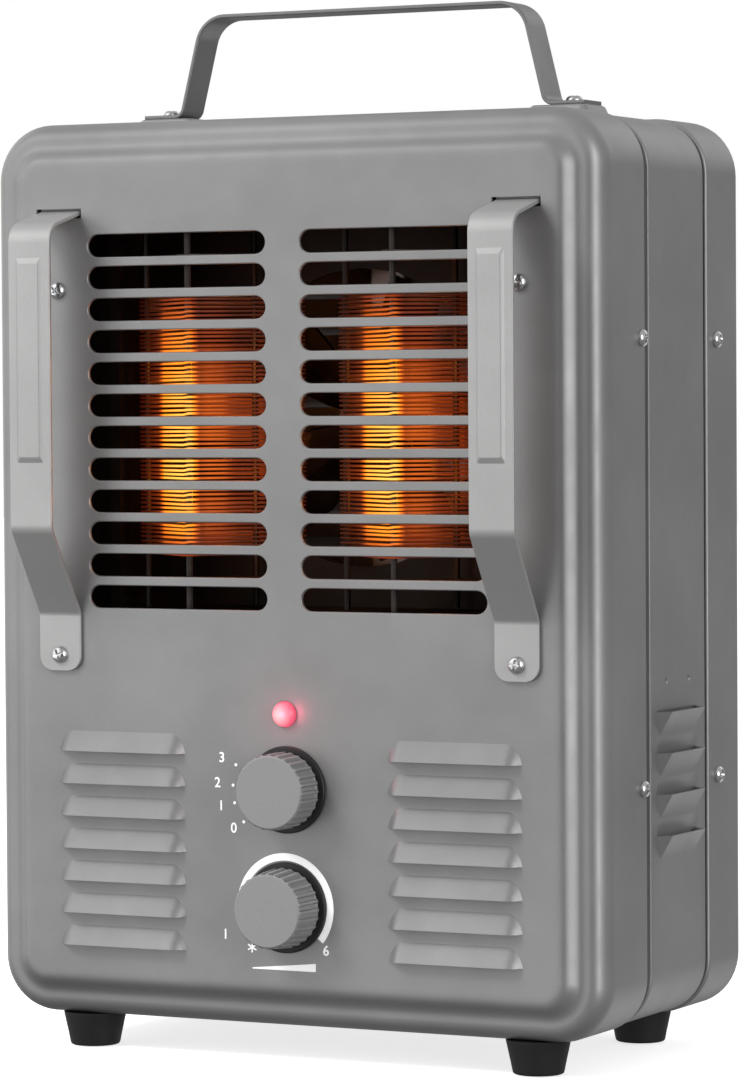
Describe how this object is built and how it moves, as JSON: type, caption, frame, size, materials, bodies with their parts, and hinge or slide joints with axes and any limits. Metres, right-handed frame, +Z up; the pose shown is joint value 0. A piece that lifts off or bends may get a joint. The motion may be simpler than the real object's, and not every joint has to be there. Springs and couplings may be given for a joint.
{
  "type": "fan-forced space heater",
  "caption": "Upright sheet-metal space heater with a slotted grille over wire-wound elements, front guard straps, a top bail handle, rubber feet, a selector knob and a thermostat knob.",
  "frame": {"origin": "bottom centre of the whole heater, on the floor between the feet", "axes": "+X to the heater's right seen from the front, +Y to its back, +Z up"},
  "size_m": [0.2476, 0.1504, 0.3733],
  "materials": {
    "case_paint": "satin metallic grey paint",
    "guard_paint": "satin light grey paint",
    "handle_steel": "satin grey",
    "foot_rubber": "matte black",
    "screw_chrome": "bright plated",
    "knob_plastic": "satin grey",
    "black_plastic": "black",
    "lens_red": "translucent red",
    "lamp_glass": "clear bulb",
    "plated_steel": "plated sheet",
    "frame_steel": "heat-dulled",
    "heating_wire": "oxidised resistance wire",
    "fan_metal": "stamped",
    "winding_wire": "enamelled copper wire"
  },
  "bodies": {
    "case": {"front_shell": "case_paint", "middle_wrap": "case_paint", "rear_cover": "case_paint", "guard_left": "guard_paint", "guard_right": "guard_paint", "handle": "handle_steel", "foot_front_left": "foot_rubber", "foot_front_right": "foot_rubber", "foot_rear_left": "foot_rubber", "foot_rear_right": "foot_rubber", "screw_foot_front_left": "screw_chrome", "screw_foot_front_right": "screw_chrome", "screw_foot_rear_left": "screw_chrome", "screw_foot_rear_right": "screw_chrome", "screw_side_left_front_upper": "screw_chrome", "screw_side_left_front_lower": "screw_chrome", "screw_side_left_rear_upper": "screw_chrome", "screw_side_left_rear_lower": "screw_chrome", "screw_side_right_front_upper": "screw_chrome", "screw_side_right_front_lower": "screw_chrome", "screw_side_right_rear_upper": "screw_chrome", "screw_side_right_rear_lower": "screw_chrome", "screw_panel_left": "screw_chrome", "screw_panel_right": "screw_chrome", "screw_guard_left": "screw_chrome", "screw_guard_right": "screw_chrome", "screw_handle_left": "screw_chrome", "screw_handle_right": "screw_chrome", "cord_gland": "black_plastic", "selector_switch": "black_plastic", "terminal_block": "black_plastic", "tip_switch_body": "black_plastic", "indicator_lens": "lens_red", "indicator_lamp": "lamp_glass", "thermostat_body": "plated_steel", "heater_duct": "plated_steel", "fan_plate": "plated_steel", "motor_mount": "plated_steel", "motor_rear_bracket": "plated_steel", "motor_stator": "plated_steel", "tip_pin": "plated_steel", "thermal_cutout": "plated_steel", "element_frame_left": "frame_steel", "element_frame_right": "frame_steel", "heating_coil_left": "heating_wire", "heating_coil_right": "heating_wire", "motor_winding": "winding_wire"},
    "selector": {"selector_knob": "knob_plastic", "selector_skirt": "black_plastic", "selector_shaft": "plated_steel"},
    "thermostat": {"thermostat_knob": "knob_plastic", "thermostat_skirt": "black_plastic", "thermostat_shaft": "plated_steel"},
    "fan": {"impeller": "fan_metal", "fan_shaft": "plated_steel", "motor_rotor": "plated_steel"},
    "tip_bob": {"tip_pendulum": "plated_steel"}
  },
  "joints": [
    {"name": "selector_turn", "type": "hinge", "parent": "case", "child": "selector", "pos_m": [0.0007, -0.0584, 0.0965], "axis": [0, 1, 0], "range_deg": [-57, 0]},
    {"name": "thermostat_turn", "type": "hinge", "parent": "case", "child": "thermostat", "pos_m": [0, -0.0584, 0.0552], "axis": [0, 1, 0], "range_deg": [-248, 0]},
    {"name": "fan_spin", "type": "hinge", "parent": "case", "child": "fan", "pos_m": [0, 0.0346, 0.226], "axis": [0, 1, 0], "continuous": true},
    {"name": "tip_swing", "type": "hinge", "parent": "case", "child": "tip_bob", "pos_m": [0.106, 0.0156, 0.116], "axis": [0, 1, 0], "range_deg": [-9, 9]}
  ]
}
